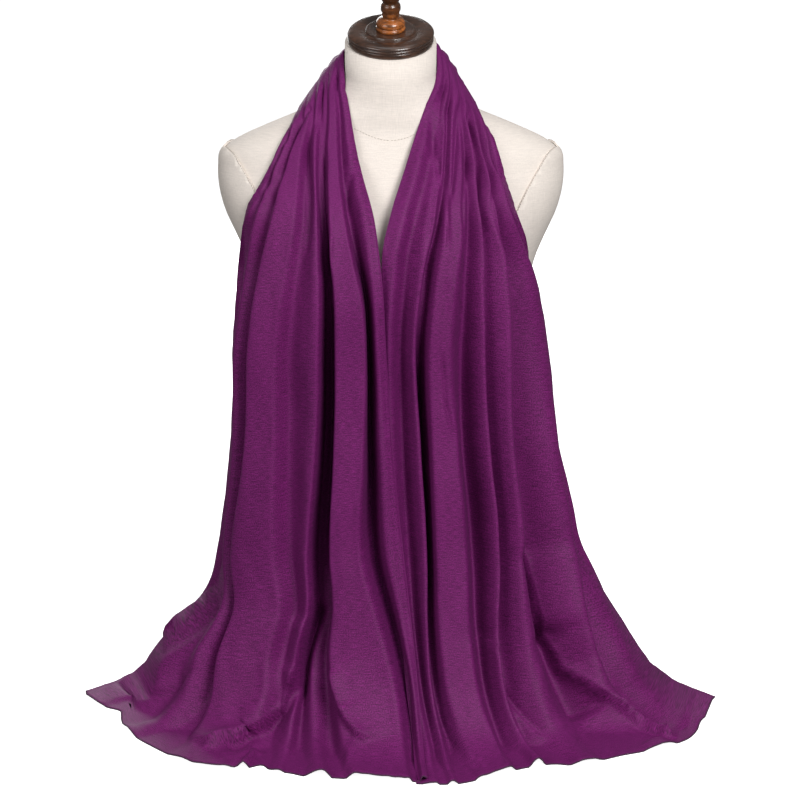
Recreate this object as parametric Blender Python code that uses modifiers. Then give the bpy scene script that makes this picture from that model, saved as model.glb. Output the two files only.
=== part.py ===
"""Hijab headscarf hung round the neck of a limbless dress form, ends spread on the surface in front.

Metres, +Z up. The form faces -Y and its flat base lies on z = 0, with the origin at the base's middle.
Left and right are the viewer's, looking along +Y.
"""
from collections import namedtuple
from math import cos, pi, radians, sin

import bmesh
import bpy
import numpy as np
from mathutils import Vector
from mathutils.bvhtree import BVHTree

MM = 0.001

# Cloth
CLOTH_WALL = 1.2 * MM
SEAM_GAP = 0.4 * MM
LOOP_CLEARANCE = CLOTH_WALL / 2 + 0.4 * MM
FALL_CLEARANCE = CLOTH_WALL / 2 + 1.2 * MM
FLOOR_LIFT = CLOTH_WALL / 2
SETTLE_ROUNDS = 14
PUSH_SHARE = 0.7
NEAR = 0.1
CURVE_SAMPLES = 160
HIDDEN_SHARE_MIN = 0.04
WIDE_FOLD = 9.0
LINE_SPACING = 0.01
STRIPS_PER_FOLD = 2
STRIPS_PER_WIDE_FOLD = 3
CHEST_END = 290
LONG_ROW_STEP = 34
CHEST_ROWS = 3

# Dress form
FORM_COLUMNS = 32
FORM_GAP = 0.3 * MM
COVER_WALL = 2.5 * MM
COVER_GAP = 0.5 * MM
COVER_MERGE = 0.5 * MM
ARMHOLE_TOP = (180 * MM, -2 * MM, 606 * MM)
ARMHOLE_LEAN = radians(15)
ARMHOLE_TURN = radians(24)
ARMHOLE_FOOT = 468 * MM
ARMHOLE_MIDDLE_Z = 540 * MM
ARMHOLE_HALF_DEPTH = 66 * MM
ARMHOLE_TURNS = (-150, -120, -90, -60, -30)
NECK_RADIUS = 49 * MM
NECK_CENTRE_Y = -12 * MM
NECK_BEND_Z = 692 * MM
NECK_TOP_Z = 723 * MM
NECK_TILT = radians(19.5)
TURNED_STEPS = 28

Section = namedtuple("Section", "z half_width front back")
Turned = namedtuple("Turned", "radius height")
Station = namedtuple("Station", "drop inner_x inner_y inner_z corner_x corner_y corner_z edge_x edge_y edge_z")
Fold = namedtuple("Fold", "name collar chest bust waist hip foot hem rise_collar rise_bust rise_hip rise_hem")

# Torso sections, in mm: height, half width, front and back reach
TORSO = (
    Section(0, 150, -96, 92),
    Section(12, 156, -102, 98),
    Section(80, 160, -108, 106),
    Section(140, 150, -102, 96),
    Section(200, 130, -93, 80),
    Section(270, 118, -88, 66),
    Section(330, 126, -98, 68),
    Section(400, 142, -116, 76),
    Section(468, 148, -125, 84),
    Section(495, 155, -120, 86),
    Section(520, 166, -114, 88),
    Section(546, 178, -105, 88),
    Section(570, 184, -94, 86),
    Section(590, 185, -83, 84),
    Section(606, 182, -75, 80),
    Section(618, 168, -69, 75),
    Section(633, 136, -63, 68),
    Section(648, 100, -62, 60),
    Section(660, 72, -61, 50),
    Section(675, 55, -61, 41),
)

# Neck cap and finial profiles in mm, from the top of the axis down the outer side
NECK_CAP = (
    Turned(0, 15), Turned(25.5, 15), Turned(26.5, 13.4), Turned(29, 13.2), Turned(37, 14.2), Turned(42, 13.8),
    Turned(45.2, 12.4), Turned(46.4, 10.8), Turned(45.2, 9), Turned(46, 6.8), Turned(45.2, 5.8), Turned(45.8, 4.6),
    Turned(45.8, 1.2), Turned(45, 0), Turned(0, 0),
)
FINIAL = (
    Turned(0, 64), Turned(5.5, 62.8), Turned(10.5, 59.5), Turned(13.8, 54), Turned(15, 48), Turned(14.5, 43),
    Turned(12.5, 38), Turned(9.4, 33.5), Turned(8.6, 31.2), Turned(10, 28.5), Turned(10.7, 26), Turned(10.7, 23),
    Turned(9.6, 20.6), Turned(9.3, 17), Turned(8.6, 14.5), Turned(9.4, 12.8), Turned(12.8, 11.2), Turned(15, 9),
    Turned(15.5, 6.5), Turned(14.6, 4), Turned(15.8, 1.6), Turned(15.4, 0), Turned(0, 0),
)

# Rows of cloth, in mm: drop along the cloth from the seam on the shoulder, then the inner edge,
# the control corner and the outer edge of a curve across the cloth
LEFT_STATIONS = (
    Station(0, -51.5, 0, 711, -76, 2, 687, -98, 4, 654),
    Station(47, -48.5, -35, 680, -84, -38, 664, -106, -34, 638),
    Station(83, -43, -57, 652, -94, -62, 640, -115, -49, 622),
    Station(109, -39, -70, 630, -106, -78, 616, -126, -61, 600),
    Station(150, -31, -93, 597, -122, -100, 586, -139, -67, 575),
    Station(214, -16.5, -128, 547, -150, -128, 544, -155, -62, 540),
    Station(249, -11.5, -143, 513, -164, -138, 506, -161.5, -45, 497),
    Station(292, -7.5, -150, 471, -192, -146, 458, -163, -28, 446),
    Station(345, -5, -150, 418, -213, -148, 404, -162, -10, 389),
    Station(399, -1.5, -150, 364, -222, -149, 348, -160, 5, 333),
    Station(452, 2, -155, 311, -230, -152, 293, -163, 15, 275),
    Station(506, 7, -160, 257, -239, -156, 236, -168, 22, 217),
    Station(560, 13, -165, 203, -246, -161, 180, -178, 28, 158),
    Station(614, 19, -175, 151, -258, -168, 124, -197, 28, 99),
    Station(667, 25, -190, 100, -305, -172, 66, -255, 10, 39),
    Station(720, 30, -210, 51.5, -292, -208, 22, -287, -8, 10),
    Station(763, 33, -235, 17, -272, -250, 3, -311, -25, 2),
    Station(796, 35, -265, 3, -255, -292, 0.6, -330, -43, 0.6),
    Station(828, 37, -297, 0.6, -240, -330, 0.6, -348, -61, 0.6),
)
RIGHT_STATIONS = (
    Station(0, 49.5, 0, 719, 72, 2, 690, 91, 4, 658),
    Station(47, 49, -24, 689, 78, -32, 668, 98, -31, 643),
    Station(83, 38, -50, 663, 88, -58, 648, 107, -53, 624),
    Station(109, 30, -63, 640, 98, -76, 622, 114, -62, 606),
    Station(150, 18, -87, 606, 110, -100, 592, 122, -70, 580),
    Station(214, 1, -121, 556, 128, -128, 548, 133, -74, 546),
    Station(249, -7, -135, 524, 146, -134, 508, 145, -58, 501),
    Station(292, -9.5, -141, 474, 178, -142, 460, 153, -33, 446),
    Station(345, -11, -141, 418, 202, -146, 404, 156, -12, 389),
    Station(399, -9.5, -141, 364, 219, -148, 348, 160, 4, 333),
    Station(452, -7, -146, 311, 236, -152, 293, 168, 14, 275),
    Station(506, -4, -151, 257, 253, -157, 236, 180, 20, 217),
    Station(560, 0, -156, 203, 266, -162, 180, 195, 24, 158),
    Station(614, 6, -166, 151, 286, -168, 124, 228, 18, 99),
    Station(667, 13, -181, 100, 316, -172, 66, 269, 2, 39),
    Station(720, 20, -200, 51.5, 308, -202, 22, 303, -15, 10),
    Station(763, 34, -226, 15, 298, -236, 3, 326, -35, 2),
    Station(796, 40, -262, 2, 284, -272, 0.6, 345, -55, 0.6),
    Station(828, 40.5, -299, 0.6, 270, -300, 0.6, 363, -76, 0.6),
)
LOOP_STATIONS = (
    Station(0, -51.5, 0, 711, -76, 2, 687, -98, 4, 654),
    Station(35, -46, 25, 714, -76, 34, 693, -88, 46, 645),
    Station(65, -28, 35, 718, -52, 58, 698, -56, 76, 634),
    Station(90, 0, 41, 720, 0, 70, 699, 0, 86, 628),
    Station(115, 28, 35, 721, 50, 58, 700, 52, 76, 636),
    Station(145, 45, 25, 721, 72, 34, 697, 82, 46, 648),
    Station(180, 49.5, 0, 719, 72, 2, 690, 91, 4, 658),
)

# How far down the cloth the fold tables' columns lie, in mm
FOLD_LEVELS = {"collar": 83, "chest": 214, "bust": 292, "waist": 452, "hip": 560, "foot": 667, "hem": 828}
RISE_LEVELS = {"rise_collar": 83, "rise_bust": 292, "rise_hip": 560, "rise_hem": 828}

# Fold lines from the inner edge outwards: how far out each lies as seen from the front, in mm,
# then how far it stands out (+) or in (-), in mm. The outline is the last that the front shows.
LEFT_FOLDS = (
    Fold("inner edge", 38, 16.5, 7.5, -2, -12, -24, -36, 0, 0, 0, 0),
    Fold("edge band", 41, 25, 15, 8, 2, -18, -33, 2, 4, 5, 2),
    Fold("edge valley", 44.5, 40, 26, 22, 18, -9, -27, -2, -13, -11, -3),
    Fold("main band right", 47.5, 47.5, 32, 32, 35, 8, -16, 2, 7, 9, 4),
    Fold("main band left", 50.5, 57, 51, 52, 56, 55, 29, 2, 7, 10, 5),
    Fold("main valley right", 53.5, 63, 58, 60, 64, 66, 46, -2, -11, -10, -2),
    Fold("hem arch", 55, 65.5, 61, 65, 72, 78, 62, -2, -12, -11, 9),
    Fold("main valley left", 56.5, 68, 65, 71, 79, 87, 90, -2, -11, -10, -3),
    Fold("second band", 59.5, 74, 73, 79, 87, 95, 106, 2, 5, 6, 8),
    Fold("soft valley", 63.5, 85, 96, 102, 101, 104, 128, -2, -6, -6, -3),
    Fold("flap right", 66.5, 93, 106, 112, 114, 118, 150, 2, 3, 7, 3),
    Fold("flap left", 69.5, 107, 121, 129, 143, 158, 188, 2, 6, 8, 3),
    Fold("side valley", 72.5, 119, 132, 142, 151, 170, 232, -2, -6, -7, -3),
    Fold("side band", 75.5, 128, 143, 153, 163, 190, 255, 2, 3, 4, 3),
    Fold("outer valley", 78, 134, 149, 161, 172, 207, 270, -2, -3, -4, -3),
    Fold("outer flap", 80, 138.5, 158, 171, 184, 226, 290, 1, 1, 3, 2),
    Fold("outer edge", 82.4, 142, 172, 183, 200, 243, 307, 0, 0, 0, 0),
)
LEFT_OUTLINE = Fold("outline", 81.4, 141, 152, 163, 176, 238, 305, 0, 0, 0, 0)
RIGHT_FOLDS = (
    Fold("inner edge", 34, 0, -10, -6, -1, 12, 40, 0, 0, 0, 0),
    Fold("edge band", 38, 12, 0, 2, 6, 19, 45, 2, 4, 4, 2),
    Fold("edge valley", 42, 24, 12, 12, 16, 26, 51, -2, -8, -8, -2),
    Fold("narrow ridge", 45, 38, 22, 23, 28, 32, 58, 2, 4, 5, 3),
    Fold("slit", 47.5, 45, 30, 31, 35, 38, 72, -2, -10, -8, -3),
    Fold("wide band left", 50, 53, 41, 41, 43, 49, 88, 2, 6, 8, 3),
    Fold("wide band right", 53, 66, 56, 62, 68, 74, 114, 2, 6, 8, 4),
    Fold("broad valley", 56, 75, 74, 76, 83, 88, 127, -2, -8, -9, -3),
    Fold("thin ridge", 58.5, 81, 84, 91, 98, 98, 140, 2, 2, 4, 6),
    Fold("thin valley", 61, 88, 92, 99, 104, 107, 153, -2, -6, -7, -3),
    Fold("third band", 63.5, 96, 105, 110, 116, 124, 182, 2, 5, 7, 4),
    Fold("third valley", 66, 103, 122, 128, 143, 164, 222, -2, -7, -9, -3),
    Fold("side band", 68.5, 109, 136, 152, 165, 186, 260, 2, 5, 7, 4),
    Fold("side valley", 70.5, 114, 143, 160, 175, 209, 292, -1, -3, -6, -3),
    Fold("outer flap", 72.3, 117.5, 150, 168, 188, 230, 312, 1, 1, 3, 3),
    Fold("outer edge", 74.4, 121, 162, 186, 207, 249, 326, 0, 0, 0, 0),
)
RIGHT_OUTLINE = Fold("outline", 73.4, 120, 141.5, 166, 187, 244, 325, 0, 0, 0, 0)

# How far the hem lies past (+) or short of (-) its plain curve: share of the way along it from the
# inner edge, then mm. The change starts where the cloth nears the floor.
Reach = namedtuple("Reach", "share past")
LEFT_REACHES = (
    Reach(0, 6), Reach(0.05, 5), Reach(0.09, 1), Reach(0.17, -4), Reach(0.24, -4), Reach(0.28, -9),
    Reach(0.33, -11), Reach(0.36, -20), Reach(0.39, -6), Reach(0.43, 3), Reach(0.49, 10), Reach(0.57, 6),
    Reach(0.63, 3), Reach(0.75, -2), Reach(0.81, -9), Reach(0.87, -20), Reach(0.9, -11), Reach(0.94, -3),
    Reach(1, 0),
)
RIGHT_REACHES = (
    Reach(0, 10), Reach(0.09, 11), Reach(0.15, 1), Reach(0.22, -11), Reach(0.29, -16), Reach(0.35, -13),
    Reach(0.39, -2), Reach(0.46, -1), Reach(0.53, 1), Reach(0.6, 9), Reach(0.67, 17), Reach(0.73, 21),
    Reach(0.79, 17), Reach(0.83, 12), Reach(0.87, 13), Reach(0.92, 5), Reach(1, 0),
)
REACH_START = 700

# Gathers of the neck loop: share across, then rise at the two seams, shoulders and nape, in mm
Gather = namedtuple("Gather", "share seam shoulder nape")
LOOP_GATHERS = (
    Gather(0.00, 0, 0, 0), Gather(0.09, 0, 3, 4), Gather(0.20, 0, -2, -3), Gather(0.32, 0, 3, 4),
    Gather(0.43, 0, -2, -3), Gather(0.56, 0, 4, 4), Gather(0.66, 0, -1, -2), Gather(0.79, 0, 3, 4),
    Gather(0.90, 0, -1, -2), Gather(1.00, 0, 0, 0),
)
LOOP_ROWS = 13

COLOURS = {
    "cloth": ((0.135, 0.018, 0.115), 0.72, 0.0),
    "linen": ((0.78, 0.73, 0.66), 0.9, 0.0),
    "walnut": ((0.055, 0.018, 0.010), 0.28, 0.0),
}


def make_material(name):
    colour, roughness, metallic = COLOURS[name]
    material = bpy.data.materials.new(name)
    material.use_nodes = True
    shader = material.node_tree.nodes["Principled BSDF"]
    shader.inputs["Base Color"].default_value = (*colour, 1.0)
    shader.inputs["Roughness"].default_value = roughness
    shader.inputs["Metallic"].default_value = metallic
    return material


def add_object(name, mesh, material, collection):
    piece = bpy.data.objects.new(name, mesh)
    mesh.materials.append(material)
    collection.objects.link(piece)
    return piece


def add_wall(piece, thickness, offset):
    """Gives an open sheet its wall: offset 0 to both sides of it, -1 behind it."""
    wall = piece.modifiers.new("Wall", "SOLIDIFY")
    wall.thickness = thickness
    wall.offset = offset


def mesh_from(name, bm):
    mesh = bpy.data.meshes.new(name)
    bm.to_mesh(mesh)
    mesh.shade_smooth()
    return mesh


def through(values, knots, table):
    """A smooth curve through the rows of a table, read at the given values of its knots."""
    knots = np.asarray(knots, float)
    table = np.asarray(table, float)
    slopes = np.gradient(table, knots, axis=0)
    values = np.atleast_1d(values)
    spans = np.clip(np.searchsorted(knots, values, side="right") - 1, 0, len(knots) - 2)
    width = (knots[spans + 1] - knots[spans])
    t = (values - knots[spans]) / width
    shape = (-1,) + (1,) * (table.ndim - 1)
    t, width = t.reshape(shape), width.reshape(shape)
    start, end = table[spans], table[spans + 1]
    return ((2 * t**3 - 3 * t**2 + 1) * start + (t**3 - 2 * t**2 + t) * width * slopes[spans]
            + (3 * t**2 - 2 * t**3) * end + (t**3 - t**2) * width * slopes[spans + 1])


def loft(bm, rings):
    """Bridges closed rings of points, listed from the bottom up, and closes both ends."""
    loops = [[bm.verts.new(point) for point in ring] for ring in rings]
    count = len(loops[0])
    for lower, upper in zip(loops, loops[1:]):
        for i in range(count):
            j = (i + 1) % count
            bm.faces.new((lower[i], lower[j], upper[j], upper[i]))
    bm.faces.new(list(reversed(loops[0])))
    bm.faces.new(loops[-1])


def neck_ring(z_middle, tilt):
    """A round ring of the neck, tilted forward about the X axis."""
    ring = []
    for i in range(FORM_COLUMNS):
        angle = 2 * pi * i / FORM_COLUMNS
        depth = NECK_RADIUS * sin(angle)
        ring.append((NECK_RADIUS * cos(angle), NECK_CENTRE_Y + depth * cos(tilt), z_middle + depth * sin(tilt)))
    return ring


def torso_ring(section):
    ring = []
    middle = (section.front + section.back) / 2
    for i in range(FORM_COLUMNS):
        angle = 2 * pi * i / FORM_COLUMNS
        depth = (section.back - section.front) / 2 * sin(angle)
        ring.append(Vector((section.half_width * cos(angle), middle + depth, section.z)) * MM)
    return ring


def make_body():
    """The covered torso and neck, with a stub at each shoulder."""
    bm = bmesh.new()
    rings = [torso_ring(section) for section in TORSO]
    rings.append(neck_ring(NECK_BEND_Z, NECK_TILT / 2))
    rings.append(neck_ring(NECK_TOP_Z, NECK_TILT))
    loft(bm, rings)
    bmesh.ops.triangulate(bm, faces=bm.faces)
    return bm


def trim(bm, faces, point, direction):
    """Cuts faces along a plane and drops what lies behind it."""
    parts = {item for face in faces for item in (face, *face.edges, *face.verts)}
    bmesh.ops.bisect_plane(bm, geom=list(parts), plane_co=point, plane_no=direction, clear_inner=True)


def make_arm_cover(body, side):
    """The outer face of the padded cover over a shoulder's stub; side is -1 or 1."""
    mesh = bpy.data.meshes.new("stub")
    body.to_mesh(mesh)
    bm = bmesh.new()
    bm.from_mesh(mesh)
    bpy.data.meshes.remove(mesh)
    x, y, z = ARMHOLE_TOP
    top = Vector((x * side, y, z))
    for turn in ARMHOLE_TURNS:
        outline = Vector((0, y + ARMHOLE_HALF_DEPTH * cos(radians(turn)),
                          ARMHOLE_MIDDLE_Z + (ARMHOLE_MIDDLE_Z - ARMHOLE_FOOT) * sin(radians(turn))))
        inward = Vector((0, -cos(radians(turn)), -sin(radians(turn))))
        trim(bm, bm.faces, outline, inward)
    everything = bm.verts[:] + bm.edges[:] + bm.faces[:]
    bmesh.ops.bisect_plane(bm, geom=everything, plane_co=top, plane_no=Vector((0, 1, 0)))
    for half in (-1, 1):
        faces = [face for face in bm.faces if (face.calc_center_median().y - y) * half > 0]
        outward = Vector((cos(ARMHOLE_LEAN) * cos(ARMHOLE_TURN) * side, sin(ARMHOLE_TURN) * half,
                          -sin(ARMHOLE_LEAN) * cos(ARMHOLE_TURN)))
        trim(bm, faces, top, outward)
    bmesh.ops.remove_doubles(bm, verts=bm.verts, dist=COVER_MERGE)
    bm.normal_update()
    for vert in bm.verts:
        vert.co += vert.normal * (COVER_GAP + COVER_WALL)
    return bm


def outer_skin(body, covers):
    """The form's outer surface, to keep the cloth clear of."""
    skin = bmesh.new()
    for source in (body, *covers):
        mesh = bpy.data.meshes.new("skin")
        source.to_mesh(mesh)
        skin.from_mesh(mesh)
        bpy.data.meshes.remove(mesh)
    bmesh.ops.triangulate(skin, faces=skin.faces)
    tree = BVHTree.FromBMesh(skin)
    skin.free()
    return tree


def add_turned(name, profile, lift, material, collection):
    """A turned piece on the neck's tilted top; lift is measured along the neck's axis."""
    mesh = bpy.data.meshes.new(name)
    points = [(row.radius * MM, 0, row.height * MM) for row in profile]
    edges = [(i, i + 1) for i in range(len(points) - 1)]
    mesh.from_pydata(points, edges, [])
    piece = add_object(name, mesh, material, collection)
    piece.location = (0, NECK_CENTRE_Y - lift * sin(NECK_TILT), NECK_TOP_Z + lift * cos(NECK_TILT))
    piece.rotation_euler = (NECK_TILT, 0, 0)
    screw = piece.modifiers.new("Turn", "SCREW")
    screw.steps = TURNED_STEPS
    screw.render_steps = TURNED_STEPS
    screw.use_merge_vertices = True
    screw.merge_threshold = 0.0001
    screw.use_smooth_shade = True
    return piece


def row_curve(values):
    """Points of the curve across the cloth: inner edge, control corner, outer edge."""
    inner, corner, edge = np.asarray(values).reshape(3, 3)
    t = np.linspace(0, 1, CURVE_SAMPLES)[:, None]
    return ((1 - t)**2 * inner + 2 * t * (1 - t) * corner + t**2 * edge) * MM


def with_reach(curve, reaches, drop, hem_drop):
    """The curve of a row near the floor, moved level so that the hem gets its uneven line."""
    fade = max(0, (drop - REACH_START) / (hem_drop - REACH_START))
    t = np.linspace(0, 1, CURVE_SAMPLES)
    past = through(t, [reach.share for reach in reaches], [reach.past for reach in reaches]) * MM
    along = np.gradient(curve, axis=0)
    level = np.stack([along[:, 1], -along[:, 0], np.zeros(CURVE_SAMPLES)], axis=1)
    level *= np.sign((level * curve).sum(axis=1))[:, None]
    level /= np.linalg.norm(level, axis=1, keepdims=True)
    return curve + level * (past * fade**2 * (3 - 2 * fade))[:, None]


def row_points(curve, shares):
    """Points of a row: shares up to 1 by width seen from the front, and from 1 to 2 by length behind that."""
    out = np.abs(curve[:, 0] - curve[0, 0])
    last = min(int(np.argmax(out)), int(CURVE_SAMPLES * (1 - HIDDEN_SHARE_MIN)))
    steps = np.arange(CURVE_SAMPLES)
    seen = np.maximum.accumulate(out[:last + 1]) / out[last]
    index = np.interp(shares, seen, steps[:last + 1])
    index = np.where(shares > 1, last + (shares - 1) * (CURVE_SAMPLES - 1 - last), index)
    return np.stack([np.interp(index, steps, curve[:, axis]) for axis in range(3)], axis=1)


def between_folds(places, rises, counts):
    """Adds the columns between fold lines, with a rounded rise from line to line."""
    columns, heights = [places[0]], [rises[0]]
    for i, count in enumerate(counts):
        for k in range(1, count + 1):
            share = k / count
            columns.append(places[i] + (places[i + 1] - places[i]) * share)
            heights.append(rises[i] + (rises[i + 1] - rises[i]) * (1 - cos(pi * share)) / 2)
    return np.array(columns), np.array(heights)


def displaced(base, rises, side):
    """Moves the grid out along its own normals by the rises."""
    across = np.gradient(base, axis=1)
    down = np.gradient(base, axis=0)
    normals = np.cross(across, down) * -side
    normals /= np.linalg.norm(normals, axis=2, keepdims=True)
    return base + normals * rises[:, :, None]


def line_shares(folds, outline, level):
    """Where the fold lines lie at a level: 0 at the inner edge, 1 at the outline, 2 at the hidden edge."""
    inner, edge, limit = (getattr(fold, level) for fold in (folds[0], folds[-1], outline))
    lines = np.array([getattr(fold, level) for fold in folds], float)
    return np.where(lines <= limit, (lines - inner) / (limit - inner), 1 + (lines - limit) / (edge - limit))


def in_order(shares):
    """Keeps each fold line a little outside the one before it."""
    shares = shares.copy()
    for i in range(1, len(shares)):
        shares[i] = max(shares[i], shares[i - 1] + LINE_SPACING)
    return np.minimum(shares, 2 - LINE_SPACING * np.arange(len(shares))[::-1])


def row_drops(drops):
    """The stations' drops, with rows between them where the cloth lies on the form's chest."""
    rows = [drops[0]]
    for start, end in zip(drops, drops[1:]):
        between = CHEST_ROWS if start < CHEST_END and end - start > LONG_ROW_STEP else 1
        rows += [start + (end - start) * k / between for k in range(1, between + 1)]
    return rows


def fall_grid(stations, folds, outline, reaches, side):
    """The hanging cloth of one side, as rows of points from the shoulder seam to the hem."""
    drops = [station.drop for station in stations]
    curves = [station[1:] for station in stations]
    even = np.append(np.linspace(0, 1, len(folds) - 1), 2)
    knots = [0] + list(FOLD_LEVELS.values())
    places = [even] + [line_shares(folds, outline, level) for level in FOLD_LEVELS]
    rise_knots = [0] + list(RISE_LEVELS.values())
    rises = [[0] * len(folds)] + [[getattr(fold, level) for fold in folds] for level in RISE_LEVELS]
    wide = [b.waist - a.waist > WIDE_FOLD for a, b in zip(folds, folds[1:])]
    counts = [STRIPS_PER_WIDE_FOLD if fold_is_wide else STRIPS_PER_FOLD for fold_is_wide in wide]
    base, heights = [], []
    for drop in row_drops(drops):
        curve = with_reach(row_curve(through(drop, drops, curves)[0]), reaches, drop, drops[-1])
        lines = in_order(through(drop, knots, places)[0])
        shares, height = between_folds(lines, through(drop, rise_knots, rises)[0], counts)
        base.append(row_points(curve, shares))
        heights.append(height * MM)
    grid = displaced(np.array(base), np.array(heights), side)
    grid[0, :, 1] -= SEAM_GAP / 2
    return grid


def loop_grid():
    """The gathered cloth round the back of the neck, from the left seam to the right one."""
    drops = [station.drop for station in LOOP_STATIONS]
    curves = [station[1:] for station in LOOP_STATIONS]
    seam, shoulder, nape = ([getattr(gather, key) for gather in LOOP_GATHERS] for key in Gather._fields[1:])
    knots = (drops[0], drops[2], drops[3], drops[4], drops[-1])
    rises = (seam, shoulder, nape, shoulder, seam)
    shares = np.array([gather.share for gather in LOOP_GATHERS])
    counts = [STRIPS_PER_FOLD] * (len(LOOP_GATHERS) - 1)
    steps = np.arange(CURVE_SAMPLES)
    base, heights = [], []
    for drop in np.linspace(drops[0], drops[-1], LOOP_ROWS):
        curve = row_curve(through(drop, drops, curves)[0])
        columns, height = between_folds(shares, through(drop, knots, rises)[0], counts)
        index = columns * (CURVE_SAMPLES - 1)
        base.append(np.stack([np.interp(index, steps, curve[:, axis]) for axis in range(3)], axis=1))
        heights.append(height * MM)
    grid = displaced(np.array(base), np.array(heights), -1)
    grid[0, :, 1] += SEAM_GAP / 2
    grid[-1, :, 1] += SEAM_GAP / 2
    return grid


def clear_of_form(grid, form, clearance):
    """Pushes the cloth out of the form, testing its points and the middles of its squares."""
    rows, columns = grid.shape[:2]
    grid = grid.copy()

    def missing(point):
        spot, normal, _, _ = form.find_nearest(Vector(point))
        depth = (Vector(point) - spot).dot(normal)
        if depth < clearance and (Vector(point) - spot).length < NEAR:
            return np.array(normal) * (clearance - depth)
        return None

    for _ in range(SETTLE_ROUNDS):
        moved = False
        for r in range(rows - 1):
            for c in range(columns - 1):
                corners = grid[r:r + 2, c:c + 2]
                for middle in (corners.mean(axis=(0, 1)), corners[0].mean(axis=0), corners[:, 0].mean(axis=0),
                               (corners[0, 0] + corners[1, 1]) / 2, (corners[0, 1] + corners[1, 0]) / 2):
                    push = missing(middle)
                    if push is not None:
                        corners += push * PUSH_SHARE
                        moved = True
        for r in range(rows):
            for c in range(columns):
                push = missing(grid[r, c])
                if push is not None:
                    grid[r, c] += push
                    moved = True
        if not moved:
            break
    grid[:, :, 2] = np.maximum(grid[:, :, 2], FLOOR_LIFT)
    return grid


def add_cloth(name, grid, material, collection):
    """An open sheet from a grid of points, given its wall by Solidify."""
    rows, columns = grid.shape[:2]
    bm = bmesh.new()
    verts = [[bm.verts.new(point) for point in row] for row in grid]
    for r in range(rows - 1):
        for c in range(columns - 1):
            bm.faces.new((verts[r][c], verts[r][c + 1], verts[r + 1][c + 1], verts[r + 1][c]))
    piece = add_object(name, mesh_from(name, bm), material, collection)
    bm.free()
    add_wall(piece, CLOTH_WALL, 0)
    return piece


def main():
    for item in list(bpy.data.objects):
        bpy.data.objects.remove(item)
    collection = bpy.data.collections.new("hijab_on_dress_form")
    bpy.context.scene.collection.children.link(collection)
    cloth, linen, walnut = (make_material(name) for name in ("cloth", "linen", "walnut"))

    body = make_body()
    add_object("form_body", mesh_from("form_body", body), linen, collection)
    covers = []
    for side, word in ((-1, "left"), (1, "right")):
        cover = make_arm_cover(body, side)
        piece = add_object(f"form_armplate_{word}", mesh_from(f"form_armplate_{word}", cover), linen, collection)
        add_wall(piece, COVER_WALL, -1)
        covers.append(cover)
    cap_lift = FORM_GAP
    add_turned("form_neck_cap", NECK_CAP, cap_lift, walnut, collection)
    finial_lift = cap_lift + NECK_CAP[0].height * MM + FORM_GAP
    add_turned("form_finial", FINIAL, finial_lift, walnut, collection)

    form = outer_skin(body, covers)
    add_cloth("scarf_neck_loop", clear_of_form(loop_grid(), form, LOOP_CLEARANCE), cloth, collection)
    left = fall_grid(LEFT_STATIONS, LEFT_FOLDS, LEFT_OUTLINE, LEFT_REACHES, -1)
    add_cloth("scarf_left_fall", clear_of_form(left, form, FALL_CLEARANCE), cloth, collection)
    right = fall_grid(RIGHT_STATIONS, RIGHT_FOLDS, RIGHT_OUTLINE, RIGHT_REACHES, 1)
    add_cloth("scarf_right_fall", clear_of_form(right, form, FALL_CLEARANCE), cloth, collection)
    for bm in (body, *covers):
        bm.free()


main()
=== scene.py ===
from collections import namedtuple
from math import cos, pi, radians, sin, tau

import bmesh
import bpy
import numpy as np
from bpy.props import FloatProperty, FloatVectorProperty, IntProperty, PointerProperty
from bpy.types import Operator, Panel, PropertyGroup
from mathutils import Matrix, Vector, noise
from mathutils.bvhtree import BVHTree


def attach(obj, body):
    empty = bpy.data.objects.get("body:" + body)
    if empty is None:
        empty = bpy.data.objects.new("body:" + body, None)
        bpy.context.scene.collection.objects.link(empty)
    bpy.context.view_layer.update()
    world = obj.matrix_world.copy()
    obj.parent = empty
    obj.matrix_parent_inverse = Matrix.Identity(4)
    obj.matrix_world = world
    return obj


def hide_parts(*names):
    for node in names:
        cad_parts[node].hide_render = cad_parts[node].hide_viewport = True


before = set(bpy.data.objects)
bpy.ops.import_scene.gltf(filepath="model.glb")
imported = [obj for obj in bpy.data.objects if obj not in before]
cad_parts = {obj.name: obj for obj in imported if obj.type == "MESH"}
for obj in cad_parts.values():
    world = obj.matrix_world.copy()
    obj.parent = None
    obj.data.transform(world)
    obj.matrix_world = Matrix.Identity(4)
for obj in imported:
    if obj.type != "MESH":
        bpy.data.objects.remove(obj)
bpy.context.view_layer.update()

bl_info = {
    "name": "Headscarf on a dress form",
    "version": (1, 0, 0),
    "blender": (4, 5, 0),
    "location": "View3D > Sidebar > Scarf",
    "description": "Drapes a jersey headscarf round a linen dress form with a turned wooden cap",
    "category": "Object",
}

MM = 0.001

# Cloth, in mm where a table says so
CURVE_SAMPLES = 400
HIDDEN_SHARE_MIN = 0.04
LINE_SPACING = 0.01
FLOOR_START = 640
CLEARANCE = 1.0 * MM
TORSO_REACH = 100 * MM
COVER_REACH = 8 * MM

Section = namedtuple("Section", "z half_width front back")
Turned = namedtuple("Turned", "radius height")
Station = namedtuple("Station", "drop inner_x inner_y inner_z corner_x corner_y corner_z edge_x edge_y edge_z")
Fold = namedtuple("Fold", "name collar chest bust waist hip foot hem rise_collar rise_bust rise_hip rise_hem")
Crease = namedtuple("Crease", "name out drop end_out end_drop width rise")

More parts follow.
